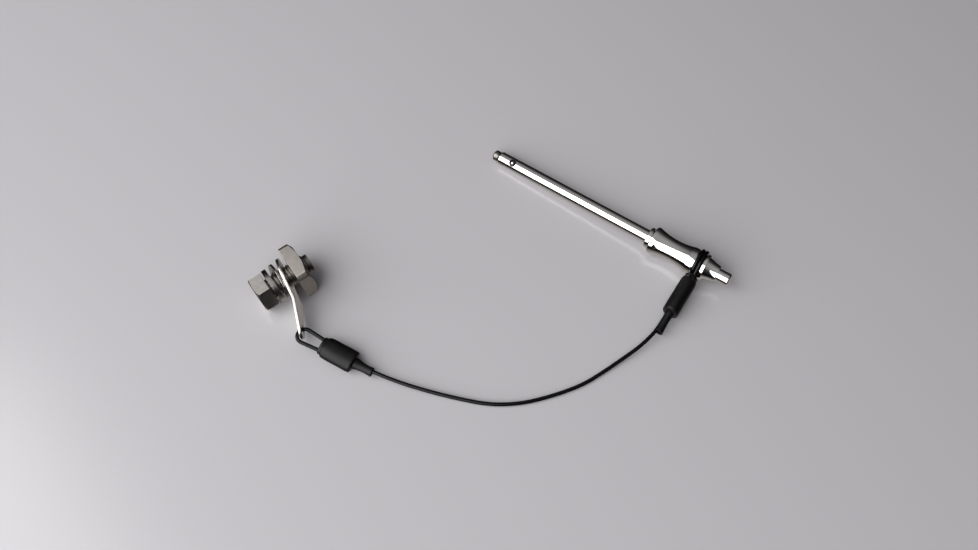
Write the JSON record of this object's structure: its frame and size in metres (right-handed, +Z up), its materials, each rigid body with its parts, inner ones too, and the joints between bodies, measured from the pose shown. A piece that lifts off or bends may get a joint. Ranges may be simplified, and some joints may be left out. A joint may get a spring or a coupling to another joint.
{
  "type": "quick-release locking pin",
  "caption": "Push-button ball-lock pin with a waisted grip, tethered by a coated cable with crimped sleeves to a bolt-on mounting tab.",
  "frame": {"origin": "middle of the footprint of the pin and bolt group, on the surface that they lie on", "axes": "+Z up; +X from the bolt group towards the pin's button end; the pin and the bolt lie askew"},
  "size_m": [0.2222, 0.134, 0.0206],
  "materials": {
    "polished_steel": "polished stainless steel",
    "spring_steel": "drawn spring wire",
    "ball_steel": "polished hardened balls",
    "cable_coat": "black extruded coating with faint strand relief",
    "shrink_sleeve": "satin black shrink tube",
    "ferrule_metal": "plain crimped",
    "plated_tab": "bright stamped steel",
    "stainless_bolt": "cold-headed, bright",
    "stainless_nut": "milled, fine tick marks at the edge",
    "stainless_washer": "tumbled"
  },
  "bodies": {
    "pin": {"shank": "polished_steel", "nose_plug": "polished_steel", "grip": "polished_steel", "rear_cap": "polished_steel", "return_spring": "spring_steel"},
    "button": {"release_button": "polished_steel", "spindle": "polished_steel"},
    "upper_lock": {"upper_ball": "ball_steel"},
    "lower_lock": {"lower_ball": "ball_steel"},
    "lanyard": {"handle_loop": "cable_coat", "handle_end_ferrule": "ferrule_metal", "handle_end_sleeve": "shrink_sleeve", "handle_end_tail_sleeve": "shrink_sleeve", "lanyard_cable": "cable_coat", "tab_loop": "cable_coat", "tab_end_ferrule": "ferrule_metal", "tab_end_sleeve": "shrink_sleeve", "tab_end_tail_sleeve": "shrink_sleeve"},
    "tab": {"mounting_tab": "plated_tab"},
    "bolt": {"hex_bolt": "stainless_bolt"},
    "nut": {"square_nut": "stainless_nut"},
    "split_ring": {"lock_washer": "stainless_washer"},
    "plain_ring": {"flat_washer": "stainless_washer"}
  },
  "joints": [
    {"name": "button_press", "type": "slide", "parent": "pin", "child": "button", "axis": [-0.8255, 0.5631, -0.0371], "range_m": [0, 0.0025], "stiffness_N_per_m": 800, "springref_m": -0.004, "deforming": ["return_spring"]},
    {"name": "upper_ball_slide", "type": "slide", "parent": "pin", "child": "upper_lock", "axis": [0.2441, 0.297, -0.9232], "range_m": [0, 0.0007]},
    {"name": "lower_ball_slide", "type": "slide", "parent": "pin", "child": "lower_lock", "axis": [-0.2441, -0.297, 0.9232], "range_m": [0, 0.0007]},
    {"name": "lanyard_swivel", "type": "hinge", "parent": "pin", "child": "lanyard", "pos_m": [0.0967, -0.01446, 0.00757], "axis": [0.8255, -0.5631, 0.0371], "continuous": true},
    {"name": "tab_swing", "type": "hinge", "parent": "lanyard", "child": "tab", "pos_m": [-0.08544, -0.04733, 0.00589], "axis": [0.978, 0.1822, 0.1017], "range_deg": [-75, 75]},
    {"name": "bolt_turn", "type": "hinge", "parent": "tab", "child": "bolt", "pos_m": [-0.10663, -0.03112, 0.00793], "axis": [0.8193, 0.5631, 0.1081], "range_deg": [-720, 270]},
    {"name": "nut_travel", "type": "slide", "parent": "tab", "child": "nut", "axis": [0.8193, 0.5631, 0.1081], "range_m": [-0.00113, 0.00301]},
    {"name": "split_washer_slide", "type": "slide", "parent": "tab", "child": "split_ring", "axis": [0.8193, 0.5631, 0.1081], "range_m": [-0.0001, 0.0002]},
    {"name": "flat_washer_spin", "type": "hinge", "parent": "tab", "child": "plain_ring", "pos_m": [-0.09712, -0.02459, 0.00918], "axis": [0.8223, 0.5652, -0.0662], "continuous": true}
  ],
  "couplings": [
    {"joint": "upper_ball_slide", "follows": "button_press", "ratio": 0.28},
    {"joint": "lower_ball_slide", "follows": "button_press", "ratio": 0.28},
    {"joint": "nut_travel", "follows": "bolt_turn", "m_per_rad": -0.00023873}
  ]
}
